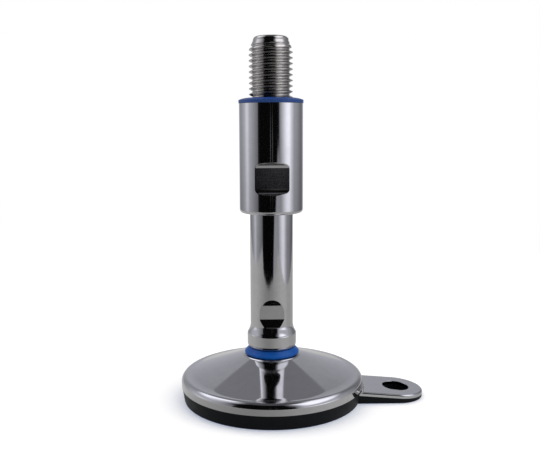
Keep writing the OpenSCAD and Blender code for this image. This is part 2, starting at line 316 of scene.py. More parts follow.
def flatColumns(columns, flats):
    # even columns, with more of them along the flats' upright edges
    angles = list(np.linspace(0, 2 * math.pi, columns, endpoint=False))
    if flats:
        spread = math.acos(flats["across"] / flats["bar"])
        around = np.linspace(-1, 1, 15) * 1.4 * flats["polish"] / flats["bar"] * 2
        for side in (-90, 90):
            for sign in (-1, 1):
                edge = math.radians(flats["turn"] + side) + sign * spread
                angles += [a % (2 * math.pi) for a in edge + around]
    angles = sorted(angles)
    return np.array([a for a, b in zip(angles, [-1.0] + angles[:-1]) if a - b > 1e-4])


def gridFaces(rows, columns, closed):
    # quads between each loop of points and the next, and from the last to the first where closed
    faces = []
    for i in range(rows if closed else rows - 1):
        for j in range(columns):
            k, n = (i + 1) % rows, (j + 1) % columns
            faces.append((i * columns + j, i * columns + n, k * columns + n, k * columns + j))
    return faces


cutterMark = {"fade": 0.4, "start": 0.08, "full": 0.15}  # millimetres


def turned(points, columns, closed=False, flats=None):
    # revolves a section about Z; one that isn't closed runs from axis to axis
    section = np.array(propped(points, closed))
    angle = flatColumns(columns, flats)[None, :]
    columns = angle.shape[1]
    bar = radius = np.repeat(section[:, :1], columns, axis=1)
    height = np.repeat(section[:, 1:], columns, axis=1)
    if flats:
        outside = (height > flats["foot"]) & (bar > 0.98 * flats["bar"] / 2)
        radius = np.where(outside, cutFlats(bar, height, angle, flats), bar)
    places = np.stack([radius * np.cos(angle), radius * np.sin(angle), height], axis=2)
    mesh = bpy.data.meshes.new("turned")
    mesh.from_pydata((places.reshape(-1, 3) * mm).tolist(), [], gridFaces(len(section), columns, closed))
    if flats:
        # the cutter's lines show on the level part of the flats
        level = np.clip((height - flats["low"]) / cutterMark["fade"], 0, 1)
        level = level * np.clip((flats["milledTop"] - height) / cutterMark["fade"], 0, 1)
        milled = np.clip((bar - radius - cutterMark["start"]) / cutterMark["full"], 0, 1) * level
        marks = mesh.attributes.new("milled", "FLOAT", "POINT")
        marks.data.foreach_set("value", milled.astype(np.float32).ravel())
    return mesh


def tidied(mesh, sharpAbove=48.0):
    # merges doubles, points the faces outwards and keeps only the hard corners sharp
    work = bmesh.new()
    work.from_mesh(mesh)
    bmesh.ops.remove_doubles(work, verts=work.verts, dist=2e-7)
    bmesh.ops.dissolve_degenerate(work, edges=work.edges, dist=1e-8)
    bmesh.ops.recalc_face_normals(work, faces=work.faces)
    for face in work.faces:
        face.smooth = True
    limit = math.radians(sharpAbove)
    for edge in work.edges:
        edge.smooth = len(edge.link_faces) == 2 and edge.calc_face_angle(0.0) < limit
    work.to_mesh(mesh)
    work.free()
    return mesh


def inScene(name, data):
    thing = bpy.data.objects.new(name, data)
    bpy.context.scene.collection.objects.link(thing)
    return thing


def asMesh(holder):
    # the object's mesh with its modifiers applied
    graph = bpy.context.evaluated_depsgraph_get()
    return bpy.data.meshes.new_from_object(holder.evaluated_get(graph), depsgraph=graph)


def addPiece(name, mesh, material):
    mesh.name = name
    piece = inScene(name, mesh)
    mesh.materials.clear()
    mesh.materials.append(finish[material])
    return piece


def joined(*meshes):
    work = bmesh.new()
    for mesh in meshes:
        work.from_mesh(mesh)
    result = bpy.data.meshes.new("joined")
    work.to_mesh(result)
    work.free()
    return result


# base plate: hub with the ball's socket, conical dish and rounded rim

plate = {
    "radius": 51.5, "rimRound": 3.6, "rimBand": 3.0, "rimWidth": 4.2, "rimSlope": 4.0, "footRound": 0.35,
    "coneSlope": 19.3, "rimTurn": 14.0, "hubTurn": 3.0, "hubTurnAt": 16.7,
    "hubRadius": 15.0, "hubTop": 24.4, "lipTop": 25.6, "lipWidth": 0.45, "recessRadius": 14.2,
    "wall": 5.0, "rimFoot": 7.9, "hubFoot": 3.5,
    "socketRadius": 8.05, "socketCentre": 15.5, "grooveRadius": 0.85, "grooveCentre": (8.08, 19.1),
}
rimCentre = (plate["radius"] - plate["rimRound"], plate["rimFoot"] + plate["rimBand"])


def underDish():
    # hollow underside: one arc, a wall's thickness below the line from the rim's top to the hub's edge
    slope = math.radians(plate["rimSlope"])
    normal = np.array([math.sin(slope), math.cos(slope)])
    rimPoint = np.array(rimCentre) + plate["rimRound"] * normal
    reach = rimPoint - np.array([plate["hubRadius"], plate["hubTop"]])
    radius = -(reach @ reach) / (2 * (reach @ normal))
    centre = rimPoint + radius * normal
    radius += plate["wall"]
    spots = np.linspace(plate["radius"] - plate["rimWidth"], plate["hubRadius"], 25)
    return [(r, centre[1] - math.sqrt(radius ** 2 - (r - centre[0]) ** 2)) for r in spots]


def dishSection():
    # a straight cone with a tight hollow turn up to the seal and a wide one into the rim
    flat, steep = math.radians(plate["rimSlope"]), math.radians(plate["coneSlope"])
    rim = arc(rimCentre, plate["rimRound"], 90 - plate["rimSlope"], 0, 28)
    outer = (rim[0][0] + plate["rimTurn"] * math.sin(flat), rim[0][1] + plate["rimTurn"] * math.cos(flat))
    rimTurn = arc(outer, plate["rimTurn"], 270 - plate["coneSlope"], 270 - plate["rimSlope"], 30)
    coneTop = rimTurn[0][1] + (rimTurn[0][0] - plate["hubTurnAt"]) * math.tan(steep)
    inner = (plate["hubTurnAt"] + plate["hubTurn"] * math.sin(steep),
             coneTop + plate["hubTurn"] * math.cos(steep))
    edgeTurn = 180 + math.degrees(math.asin((inner[1] - plate["lipTop"]) / plate["hubTurn"]))
    hubTurn = arc(inner, plate["hubTurn"], edgeTurn, 270 - plate["coneSlope"], 16)
    cone = [tuple(point) for point in np.linspace(hubTurn[-1], rimTurn[0], 13)[1:-1]]
    return hubTurn + cone + rimTurn + rim[1:]


def plateSection():
    dish = dishSection()
    points = arc((0, plate["socketCentre"]), plate["socketRadius"], -90, 0, 20)
    points[0] = (0, plate["socketCentre"] - plate["socketRadius"])
    points += arc(plate["grooveCentre"], plate["grooveRadius"], -88, 88, 10)
    points += [(plate["socketRadius"], plate["hubTop"]), (plate["recessRadius"], plate["hubTop"])]
    points += [(dish[0][0] - plate["lipWidth"], plate["lipTop"])] + dish
    low = len(points)
    points += [(plate["radius"], plate["rimFoot"]), (plate["radius"] - plate["rimWidth"], plate["rimFoot"])]
    points += underDish() + [(plate["hubRadius"], plate["hubFoot"]), (0, plate["hubFoot"])]
    return softenAll(points, {low: plate["footRound"]})


basePlate = addPiece("base_plate_steel", tidied(turned(plateSection(), 288)), "dishSteel")
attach(basePlate, "base")
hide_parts("base_plate")
print("base plate:", len(basePlate.data.polygons), "faces")


# floor lug and the rubber tongue below it

lug = {
    "hole": 71.2, "halfWidth": 15.2, "root": 35.3, "rim": 51.5, "low": 4.4, "high": 6.607, "boltRadius": 7.5,
    "lowFall": 0.0805, "highFall": 0.0805, "topRound": 1.0, "lowRound": 0.15, "holeRound": 0.25,
}
tongue = {
    "hole": 71.2, "halfWidth": 15.1, "root": 43.0, "rim": 51.5, "low": 0.0, "high": 4.4, "boltRadius": 7.5,
    "lowFall": 0.0, "highFall": 0.0805, "topRound": 0.05, "lowRound": 0.5, "holeRound": 0.15,
}


def raised(part, level, places, height):
    # places in plan, lifted to a level that may fall away from the rim
    return [(x, y, part[level] + height - part[level + "Fall"] * (x - part["rim"])) for x, y in places]


def tongueLoop(part, level, inset, height, ends=96, sides=40):
    half, root, hole = part["halfWidth"] - inset, part["root"] + inset, part["hole"]
    quarter = math.pi / 2
    loop = [(hole + half * math.cos(a), half * math.sin(a)) for a in np.linspace(-quarter, quarter, ends)]
    loop += [(x, half) for x in np.linspace(hole, root, sides)[1:]]
    loop += [(root, y) for y in np.linspace(half, -half, sides)[1:]]
    loop += [(x, -half) for x in np.linspace(root, hole, sides)[1:-1]]
    return raised(part, level, loop, height)


def tonguePlate(part):
    # loops from the bolt hole's top, over the plate and its edges, round to the hole again
    turns = [math.atan2(y, x - part["hole"]) for x, y, _ in tongueLoop(part, "low", 0, 0)]
    top, low, hole = part["topRound"], part["lowRound"], part["holeRound"]
    prop = 0.06
    bends = [(1 - math.sin(a), 1 - math.cos(a)) for a in np.linspace(0, math.pi / 2, 8)]

    def edge(level, inset, height):
        return tongueLoop(part, level, inset, height)

    def bore(level, grow, height):
        radius = part["boltRadius"] + grow
        ring = [(part["hole"] + radius * math.cos(a), radius * math.sin(a)) for a in turns]
        return raised(part, level, ring, height)

    loops = [bore("high", hole + prop, 0), edge("high", top + prop, 0)]
    loops += [edge("high", top * s, -top * c) for s, c in bends]
    loops += [edge("high", 0, -top - prop), edge("low", 0, low + prop)]
    loops += [edge("low", low * c, low * s) for s, c in bends]
    loops += [edge("low", low + prop, 0), bore("low", hole + prop, 0)]
    loops += [bore("low", hole * s, hole * c) for s, c in bends]
    loops += [bore("low", 0, hole + prop), bore("high", 0, -hole - prop)]
    loops += [bore("high", hole * c, -hole * s) for s, c in bends]
    mesh = bpy.data.meshes.new("tongue")
    places = [tuple(v * mm for v in place) for loop in loops for place in loop]
    mesh.from_pydata(places, [], gridFaces(len(loops), len(turns), True))
    return mesh


floorLug = addPiece("floor_lug_steel", tidied(tonguePlate(lug)), "lugSteel")
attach(floorLug, "base")
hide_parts("floor_lug")
print("floor lug:", len(floorLug.data.polygons), "faces")


# geometry nodes helpers

def newTree(name, values):
    # one named input for each of the piece's values
    tree = bpy.data.node_groups.new(name, "GeometryNodeTree")
    kinds = {float: "NodeSocketFloat", int: "NodeSocketInt", bpy.types.Material: "NodeSocketMaterial"}
    for label, value in values.items():
        socket = tree.interface.new_socket(name=label, in_out="INPUT", socket_type=kinds[type(value)])
        socket.default_value = value
    tree.interface.new_socket(name="Geometry", in_out="OUTPUT", socket_type="NodeSocketGeometry")
    return tree, tree.nodes.new("NodeGroupInput").outputs, tree.nodes.new("NodeGroupOutput").inputs[0]


def coated(tree, shape, coat, result):
    # what every tree ends in: real geometry, shaded smooth, with its material
    for kind in ("RealizeInstances", "SetShadeSmooth", "SetMaterial"):
        node = addNode(tree, "GeometryNode" + kind)
        tree.links.new(shape, node.inputs[0])
        shape = node.outputs[0]
    tree.links.new(coat, node.inputs["Material"])
    tree.links.new(shape, result)


def grown(name, tree, values):
    # runs a tree on an empty carrier and keeps the result as a plain mesh
    carrier = inScene(name + "Carrier", bpy.data.meshes.new(name + "Carrier"))
    modifier = carrier.modifiers.new(name, "NODES")
    modifier.node_group = tree
    for item in tree.interface.items_tree:
        if item.item_type == "SOCKET" and item.in_out == "INPUT" and item.name in values:
            modifier[item.identifier] = values[item.name]
    mesh = asMesh(carrier)
    carrier.modifiers.remove(modifier)
    bpy.data.objects.remove(carrier)
    return mesh


# weld bead between the lug and the rim

weld = {
    "Bead Radius": 51.45 * mm, "Bead Height": 7.0 * mm, "Half Angle": math.radians(16.2), "Ripples": 30,
    "Ripple Size": 0.85 * mm, "Least": 0.88, "Most": 1.12, "End Swell": 0.6, "Seed": 4,
    "Steel": finish["weldSteel"],
}


def weldTree():
    tree, given, result = newTree("weldRipples", weld)
    link = tree.links.new
    path = addNode(tree, "GeometryNodeCurveArc", mode="RADIUS")
    link(given["Bead Radius"], path.inputs["Radius"])
    link(doMath(tree, "MULTIPLY", given["Half Angle"], -1.0), path.inputs["Start Angle"])
    link(doMath(tree, "MULTIPLY", given["Half Angle"], 2.0), path.inputs["Sweep Angle"])
    spots = addNode(tree, "GeometryNodeCurveToPoints", mode="COUNT")
    link(path.outputs["Curve"], spots.inputs["Curve"])
    link(given["Ripples"], spots.inputs["Count"])
    ripple = addNode(tree, "GeometryNodeMeshUVSphere", {"Segments": 16, "Rings": 10})
    link(given["Ripple Size"], ripple.inputs["Radius"])
    # the ripples at both ends are fuller, where the arc stopped
    along = doMath(tree, "DIVIDE", addNode(tree, "GeometryNodeInputIndex").outputs[0],
                   doMath(tree, "SUBTRACT", given["Ripples"], 1.0))
    away = doMath(tree, "ABSOLUTE", doMath(tree, "MULTIPLY_ADD", along, 2.0, -1.0))
    swell = doMath(tree, "MULTIPLY", doMath(tree, "POWER", away, 14.0), given["End Swell"])
    chance = addNode(tree, "FunctionNodeRandomValue", data_type="FLOAT")
    link(given["Least"], chance.inputs[2])
    link(given["Most"], chance.inputs[3])
    link(given["Seed"], chance.inputs["Seed"])
    size = addNode(tree, "ShaderNodeCombineXYZ")
    whole = doMath(tree, "ADD", chance.outputs[1], swell)
    for axis, share in (("X", 1.0), ("Y", 1.1), ("Z", 0.95)):
        link(doMath(tree, "MULTIPLY", whole, share), size.inputs[axis])
    spread = addNode(tree, "GeometryNodeInstanceOnPoints")
    link(spots.outputs["Points"], spread.inputs["Points"])
    link(ripple.outputs["Mesh"], spread.inputs["Instance"])
    link(spots.outputs["Rotation"], spread.inputs["Rotation"])
    link(size.outputs[0], spread.inputs["Scale"])
    lift = addNode(tree, "ShaderNodeCombineXYZ")
    link(given["Bead Height"], lift.inputs["Z"])
    lifted = addNode(tree, "GeometryNodeTransform")
    link(spread.outputs[0], lifted.inputs["Geometry"])
    link(lift.outputs[0], lifted.inputs["Translation"])
    coated(tree, lifted.outputs[0], given["Steel"], result)
    return tree


weldBead = addPiece("weld_bead", tidied(grown("weld", weldTree(), weld), 80), "weldSteel")
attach(weldBead, "base")
print("weld bead:", weld["Ripples"], "ripples")


# rubber sole: round pad with ring grooves below, and the tongue under the lug

pad = {
    "topRadius": 51.2, "footRadius": 50.0, "height": 7.9, "floor": 3.5, "treadPitch": 9.0, "treadWidth": 2.4,
    "treadDepth": 1.4, "treads": 4, "footRound": 0.8, "topRound": 0.3, "treadRound": 0.3,
}


def padSection():
    points = [(0.0, 0.0)]
    reaches = {}
    for i in range(1, pad["treads"] + 1):
        middle, half = i * pad["treadPitch"], pad["treadWidth"] / 2
        inner, outer = middle - half, middle + half
        reaches.update({len(points) + k: pad["treadRound"] for k in range(4)})
        points += [(inner, 0), (inner, pad["treadDepth"]), (outer, pad["treadDepth"]), (outer, 0)]
    reaches.update({len(points): pad["footRound"], len(points) + 1: pad["topRound"]})
    points += [(pad["footRadius"], 0), (pad["topRadius"], pad["height"])]
    points += [(plate["radius"] - plate["rimWidth"], pad["height"])] + underDish()
    points += [(plate["hubRadius"], pad["floor"]), (0.0, pad["floor"])]
    return softenAll(points, reaches)


def united(name, first, second):
    # one closed shell out of two that overlap
    body, other = inScene(name + "First", first), inScene(name + "Second", second)
    union = body.modifiers.new("union", "BOOLEAN")
    union.operation = "UNION"
    union.solver = "EXACT"
    union.object = other
    mesh = asMesh(body)
    for part in (body, other):
        bpy.data.objects.remove(part)
    return mesh


sole = united("sole", tidied(turned(padSection(), 224)), tidied(tonguePlate(tongue)))
rubberPad = addPiece("rubber_sole", tidied(sole, 40), "soleRubber")
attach(rubberPad, "base")
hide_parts("rubber_pad")
print("rubber sole:", len(rubberPad.data.polygons), "faces")


# blue seal between the hub and the collar

seal = {
    "foot": 24.5, "mouth": 8.35, "footRadius": 13.3, "inner": 6.7, "web": 27.0, "topRadius": 12.86,
    "flank": [(14.1, 25.2), (15.0, 26.0), (15.4, 26.4), (15.4, 26.95), (15.15, 27.4),
              (14.45, 28.1), (13.75, 28.9), (13.12, 29.7)],
    "lipRound": 0.2, "edgeRound": 0.1, "collarFace": 10.2, "collarCentre": 32.3, "collarRound": 3.7,
}


def sealSection():
    # the top follows the collar's rounding, and the flanks are slightly hollow
    bowl = [(r, seal["collarCentre"] - math.sqrt(seal["collarRound"] ** 2 - (r - seal["collarFace"]) ** 2))
            for r in np.linspace(seal["topRadius"], seal["collarFace"], 9)]
    points = [(seal["mouth"], seal["foot"]), (seal["footRadius"], seal["foot"])]
    reaches = {len(points) + k: seal["lipRound"] for k in range(1, 5)}
    points += seal["flank"]
    reaches[len(points) - 1] = seal["edgeRound"]
    points += bowl
    points += [(seal["inner"], bowl[-1][1]), (seal["inner"], seal["web"]), (seal["mouth"], seal["web"])]
    return softenAll(points, reaches)


jointSeal = addPiece("joint_seal_rubber", tidied(turned(sealSection(), 224, closed=True)), "sealRubber")
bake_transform(jointSeal)
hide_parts("joint_seal")
print("joint seal:", len(jointSeal.data.polygons), "faces")


# spindle: ball, neck, collar, hollow flare, shank with spanner flats

spindle = {
    "ballRadius": 8.0, "ballCentre": 15.5, "neckRadius": 5.5,
    "collarFoot": 28.7, "collarRadius": 13.8, "collarRound": 3.6, "collarTop": 37.3, "collarEdge": 2.6,
    "flareRadius": 9.8, "barRadius": 12.0, "shankTop": 134.7, "reliefRadius": 9.9, "end": 138.6,
}
spindleFlats = {
    "bar": 24.0, "across": 19.7, "low": 47.3, "high": 50.3, "sweep": 18.0, "turnOut": math.radians(29),
    "ramp": 0.337, "runOut": 4.3, "endSlope": 2.5, "turn": 0.0, "polish": 0.22,
    "foot": 40.0, "milledTop": 55.4,
}


def spindleSection():
    s = spindle
    neckTurn = math.degrees(math.acos(s["neckRadius"] / s["ballRadius"]))
    points = arc((0, s["ballCentre"]), s["ballRadius"], -90, neckTurn, 30)
    points[0] = (0, s["ballCentre"] - s["ballRadius"])
    points += [(s["neckRadius"], s["collarFoot"])]
    centre = (s["collarRadius"] - s["collarRound"], s["collarFoot"] + s["collarRound"])
    points += arc(centre, s["collarRound"], -90, 0, 24)
    # the collar's upper rounding and the hollow flare meet in one smooth curve
    both = s["collarEdge"] + s["flareRadius"]
    lean = math.acos(1 - (s["collarRadius"] - s["barRadius"]) / both)
    flareTop = s["collarTop"] + both * math.sin(lean)
    lean = math.degrees(lean)
    points += arc((s["collarRadius"] - s["collarEdge"], s["collarTop"]), s["collarEdge"], 0, lean, 24)
    points += arc((s["barRadius"] + s["flareRadius"], flareTop), s["flareRadius"], 180 + lean, 180, 60)[1:]
    points += [(s["barRadius"], z) for z in flatRows(spindleFlats) if z > flareTop + 0.05]
    points += [(s["barRadius"], s["shankTop"]), (s["reliefRadius"], s["shankTop"])]
    return points + [(s["reliefRadius"], s["end"]), (0, s["end"])]


spindleBar = addPiece("spindle_bar", tidied(turned(spindleSection(), 256, flats=spindleFlats)), "mirrorSteel")
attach(spindleBar, "spindle")
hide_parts("spindle")
print("spindle:", len(spindleBar.data.polygons), "faces")


# stud: right-hand thread, cut back by a chamfer, with a plain rounded lead

stud = {
    "Pitch": 3.0 * mm, "Crest Radius": 12.0 * mm, "Root Radius": 10.16 * mm, "Start": 137.9 * mm,
    "Turns": 20, "Steps": 112, "Chamfer Start": 194.5 * mm, "Chamfer Slope": 0.451, "Lead Radius": 9.6 * mm,
    "Steel": finish["threadSteel"],
}
studLead = {"radius": 9.7, "low": 199.0, "top": 201.9, "round": 2.2}
threadShape = [(0, 0), (0.09, 0.01), (0.15, 0.08), (0.425, 0.94), (0.455, 1),  # share of pitch, of depth
               (0.545, 1), (0.575, 0.94), (0.85, 0.08), (0.91, 0.01), (1, 0)]


def threadTree():
    tree, given, result = newTree("threadHelix", stud)
    link = tree.links.new
    # a strip that winds up the bar: X runs along the helix, Y across one pitch
    strip = addNode(tree, "GeometryNodeMeshGrid", {"Size X": 1.0, "Size Y": 1.0, "Vertices Y": 25})
    link(doMath(tree, "MULTIPLY_ADD", given["Turns"], given["Steps"], 1.0), strip.inputs["Vertices X"])
    spot = addNode(tree, "ShaderNodeSeparateXYZ")
    link(addNode(tree, "GeometryNodeInputPosition").outputs[0], spot.inputs[0])
    wound = doMath(tree, "MULTIPLY", doMath(tree, "ADD", spot.outputs["X"], 0.5), given["Turns"])
    across = doMath(tree, "ADD", spot.outputs["Y"], 0.5)
    angle = doMath(tree, "MULTIPLY", wound, 2 * math.pi)
    climbed = doMath(tree, "MULTIPLY", given["Pitch"], doMath(tree, "ADD", wound, across))
    height = doMath(tree, "ADD", given["Start"], climbed)
    profile = addNode(tree, "ShaderNodeFloatCurve")
    curve = profile.mapping.curves[0]
    for index, place in enumerate(threadShape):
        knot = curve.points[index] if index < 2 else curve.points.new(*place)
        knot.location = place
        knot.handle_type = "VECTOR"
    profile.mapping.update()
    link(across, profile.inputs["Value"])
    depth = doMath(tree, "SUBTRACT", given["Crest Radius"], given["Root Radius"])
    full = doMath(tree, "ADD", given["Root Radius"], doMath(tree, "MULTIPLY", profile.outputs[0], depth))
    above = doMath(tree, "SUBTRACT", height, given["Chamfer Start"])
    fall = doMath(tree, "MULTIPLY", above, given["Chamfer Slope"])
    cone = doMath(tree, "SUBTRACT", given["Crest Radius"], fall)
    radius = doMath(tree, "MAXIMUM", doMath(tree, "MINIMUM", full, cone), given["Lead Radius"])
    place = addNode(tree, "ShaderNodeCombineXYZ")
    link(doMath(tree, "MULTIPLY", radius, doMath(tree, "COSINE", angle)), place.inputs["X"])
    link(doMath(tree, "MULTIPLY", radius, doMath(tree, "SINE", angle)), place.inputs["Y"])
    link(height, place.inputs["Z"])
    bent = addNode(tree, "GeometryNodeSetPosition")
    link(strip.outputs["Mesh"], bent.inputs["Geometry"])
    link(place.outputs[0], bent.inputs["Position"])
    merged = addNode(tree, "GeometryNodeMergeByDistance", {"Distance": 2e-6})
    link(bent.outputs[0], merged.inputs["Geometry"])
    coated(tree, merged.outputs[0], given["Steel"], result)
    return tree


def capped(mesh):
    # closes the helix's two open ends, which lie inside the sleeve and the lead
    work = bmesh.new()
    work.from_mesh(mesh)
    bmesh.ops.holes_fill(work, edges=[e for e in work.edges if e.is_boundary], sides=0)
    bmesh.ops.triangulate(work, faces=[f for f in work.faces if len(f.verts) > 4])
    work.to_mesh(mesh)
    work.free()
    return mesh


def leadSection():
    p = studLead
    points = [(0, p["low"]), (p["radius"], p["low"])]
    points += arc((p["radius"] - p["round"], p["top"] - p["round"]), p["round"], 0, 90, 16)
    return points + [(0, p["top"])]


threadMesh = tidied(capped(grown("thread", threadTree(), stud)), 70)
leadMesh = tidied(turned(leadSection(), 160))
threadedStud = addPiece("threaded_stud", joined(threadMesh, leadMesh), "threadSteel")
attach(threadedStud, "spindle")
print("stud:", len(threadedStud.data.polygons), "faces")


# adjusting sleeve

sleeve = {
    "radius": 17.5, "low": 106.2, "high": 166.2, "lowRound": 2.0, "topRound": 0.2, "boreRound": 0.25,
    "bore": 12.1, "clearance": 12.7, "guideTop": 116.2, "threadFoot": 148.2, "recessRadius": 14.7,
    "recessFloor": 164.7, "wiperRadius": 14.4, "wiperLow": 109.0, "wiperHigh": 112.1,
}
sleeveFlats = {
    "bar": 35.0, "across": 29.7, "low": 120.2, "high": 131.3, "sweep": 3.0, "turnOut": math.radians(84),
    "ramp": 0.0, "turn": 1.0, "polish": 0.26, "foot": 112.0, "milledTop": 131.5,
}


def sleeveSection():
    s = sleeve
    points = [(s["bore"], s["low"])]
    points += arc((s["radius"] - s["lowRound"], s["low"] + s["lowRound"]), s["lowRound"], -90, 0, 20)
    points += [(s["radius"], z) for z in flatRows(sleeveFlats)]
    top = len(points)
    # down the inside: gasket's recess, thread, clearance, guide, wiper's groove
    points += [(s["radius"], s["high"])]
    for radius, start, end in (("recessRadius", "high", "recessFloor"), ("bore", "recessFloor", "threadFoot"),
                               ("clearance", "threadFoot", "guideTop"), ("bore", "guideTop", "wiperHigh"),
                               ("wiperRadius", "wiperHigh", "wiperLow")):
        points += [(s[radius], s[start]), (s[radius], s[end])]
    points += [(s["bore"], s["wiperLow"])]
    return softenAll(points, {0: s["boreRound"], top: s["topRound"]})


sleeveMesh = tidied(turned(sleeveSection(), 384, closed=True, flats=sleeveFlats))
sleeveTube = addPiece("sleeve_tube", sleeveMesh, "mirrorSteel")
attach(sleeveTube, "sleeve")
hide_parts("sleeve")
print("sleeve:", len(sleeveTube.data.polygons), "faces")


# blue gasket on the sleeve's top

gasket = {
    "inner": 12.3, "outer": 17.8, "seat": 166.21, "edge": 1.69, "crown": 2.89,
    "foot": 164.75, "footRadius": 14.65, "lowRound": 0.25, "edgeRound": 0.22, "innerRound": 0.2,
}


def gasketSection():
    g = gasket
    rise, width = g["crown"] - g["edge"], g["outer"] - g["inner"]
    radius = (width ** 2 + rise ** 2) / (2 * rise)
    dome = [(r, g["seat"] + g["crown"] - radius + math.sqrt(radius ** 2 - (r - g["inner"]) ** 2))
            for r in np.linspace(g["outer"], g["inner"], 25)]
    points = [(g["inner"], g["foot"]), (g["footRadius"], g["foot"]), (g["footRadius"], g["seat"])]
    low = len(points)
    points += [(g["outer"], g["seat"])] + dome
    return softenAll(points, {low: g["lowRound"], low + 1: g["edgeRound"], len(points) - 1: g["innerRound"]})


frameSeal = addPiece("frame_gasket", tidied(turned(gasketSection(), 224, closed=True)), "gasketRubber")
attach(frameSeal, "sleeve")
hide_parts("frame_seal")
print("gasket:", len(frameSeal.data.polygons), "faces")


# inner rings keep their solids and get a finish

for node, coat in (("retaining_ring", "springSteel"), ("wiper_seal", "sealRubber")):
    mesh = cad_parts[node].data
    mesh.materials.clear()
    mesh.materials.append(finish[coat])
print("inner rings finished")


# paper table under the foot, cut short in front where the room's dark shows in the steel

viewTurn = math.radians(-1.1)  # the photo looks at the foot from this far round towards the lug
stage = {
    "height": -0.00002,
    "corners": [(0.32, 0.90), (-0.43, 0.90), (-0.43, -0.37), (-0.26, -0.28), (-0.14, -0.288), (-0.07, -0.305),
                (-0.01, -0.332), (0.06, -0.342), (0.14, -0.345), (0.28, -0.43), (0.32, -0.30)],
    # painted shadow tint: the warm paper and the cool glow named shadow add up to white where lit, so only
    # the glow's blue is left in the foot's shadow
    "paper": (0.985, 0.925, 0.80), "paperFibre": (0.965, 0.905, 0.78), "shadow": (0.12, 0.17, 0.29),
    "underHole": (0.30, 0.30, 0.31), "holeEdge": (9.0 * mm, 11.0 * mm),
    # brightness in the steel by the angle round the foot
    "glowLevel": 1.92,
    "glow": [(-180, 0.33), (-135, 0.33), (-90, 0.33), (-60, 0.265), (-30, 0.19), (-15, 0.178), (0, 0.20),
             (25, 0.26), (50, 0.32), (75, 0.32), (95, 0.275), (135, 0.275), (180, 0.33)],
}


def fromView(x, y):
    # the view's axes, to the right and away from the camera, to the frame's X and Y
    return (x * math.cos(viewTurn) - y * math.sin(viewTurn), x * math.sin(viewTurn) + y * math.cos(viewTurn))


def viewAzimuth(tree, source):
    # angle round the foot in the photo's view, 0 towards the camera, and the height
    facing = addNode(tree, "ShaderNodeMapping", {"Rotation": (0.0, 0.0, -viewTurn)})
    tree.links.new(source, facing.inputs["Vector"])
    split = addNode(tree, "ShaderNodeSeparateXYZ")
    tree.links.new(facing.outputs[0], split.inputs[0])
    ahead = doMath(tree, "MULTIPLY", split.outputs["Y"], -1.0)
    return doMath(tree, "ARCTAN2", split.outputs["X"], ahead), split.outputs["Z"]


def azimuthRamp(tree, azimuth, stops):
    ramp = addNode(tree, "ShaderNodeValToRGB")
    knots = ramp.color_ramp.elements
    for angle, value in stops:
        place = angle / 360 + 0.5
        knot = knots[0] if place <= 0 else knots[-1] if place >= 1 else knots.new(place)  # ends exist already
        knot.color = (value, value, value, 1.0)
    share = doMath(tree, "ADD", doMath(tree, "DIVIDE", azimuth, 2 * math.pi), 0.5)
    tree.links.new(share, ramp.inputs["Fac"])
    return ramp.outputs["Color"]


def mixShader(tree, share, first, second):
    node = addNode(tree, "ShaderNodeMixShader")
    for index, term in enumerate((share, first.outputs[0], second.outputs[0])):
        tree.links.new(term, node.inputs[index])
    return node


def isMirrored(tree, rays):
    return doMath(tree, "MAXIMUM", rays["Is Glossy Ray"], rays["Is Transmission Ray"])


def makeFloor():
    mesh = bpy.data.meshes.new("studio_floor")
    corners = [(*fromView(*c), stage["height"]) for c in stage["corners"]]
    mesh.from_pydata(corners, [], [list(range(len(corners)))])
    floor = inScene("studio_floor", mesh)
    material, tree, _, place = newMaterial("palePaper")
    link = tree.links.new
    tree.nodes.remove(tree.nodes["Principled BSDF"])
    rays = addNode(tree, "ShaderNodeLightPath").outputs
    # below the bolt hole no light falls on the paper
    fromHole = addNode(tree, "ShaderNodeVectorMath", {1: (lug["hole"] * mm, 0.0, 0.0)}, operation="DISTANCE")
    link(place, fromHole.inputs[0])
    lit = remap(tree, fromHole.outputs["Value"], *stage["holeEdge"], 0.0, 1.0)
    # white to the camera: a glow for camera rays lifts the lit paper to white, and its cool colour set
    # against the warm paper paints a blue tint into the shadow where the foot keeps the light off
    paper = addNode(tree, "ShaderNodeBsdfDiffuse")
    sheet = mixColour(tree, noise(tree, place, 14.0, 2.0), stage["paper"], stage["paperFibre"])
    link(mixColour(tree, lit, stage["underHole"], sheet), paper.inputs["Color"])
    whiteGlowAndShadowTint = addNode(tree, "ShaderNodeEmission", {"Color": (*stage["shadow"], 1.0)})
    link(doMath(tree, "MULTIPLY", rays["Is Camera Ray"], lit), whiteGlowAndShadowTint.inputs["Strength"])
    seen = addNode(tree, "ShaderNodeAddShader")
    link(paper.outputs[0], seen.inputs[0])
    link(whiteGlowAndShadowTint.outputs[0], seen.inputs[1])
    # in the steel it is dimmer, and brightest behind the foot
    azimuth, _ = viewAzimuth(tree, place)
    mirrored = addNode(tree, "ShaderNodeEmission")
    link(doMath(tree, "MULTIPLY", lit, stage["glowLevel"]), mirrored.inputs["Strength"])
    link(azimuthRamp(tree, azimuth, stage["glow"]), mirrored.inputs["Color"])
    both = mixShader(tree, isMirrored(tree, rays), seen, mirrored)
    link(both.outputs[0], tree.nodes["Material Output"].inputs["Surface"])
    mesh.materials.append(material)


makeFloor()
print("floor laid")


# studio around the foot: white to the camera, softboxes and a dark front to the steel

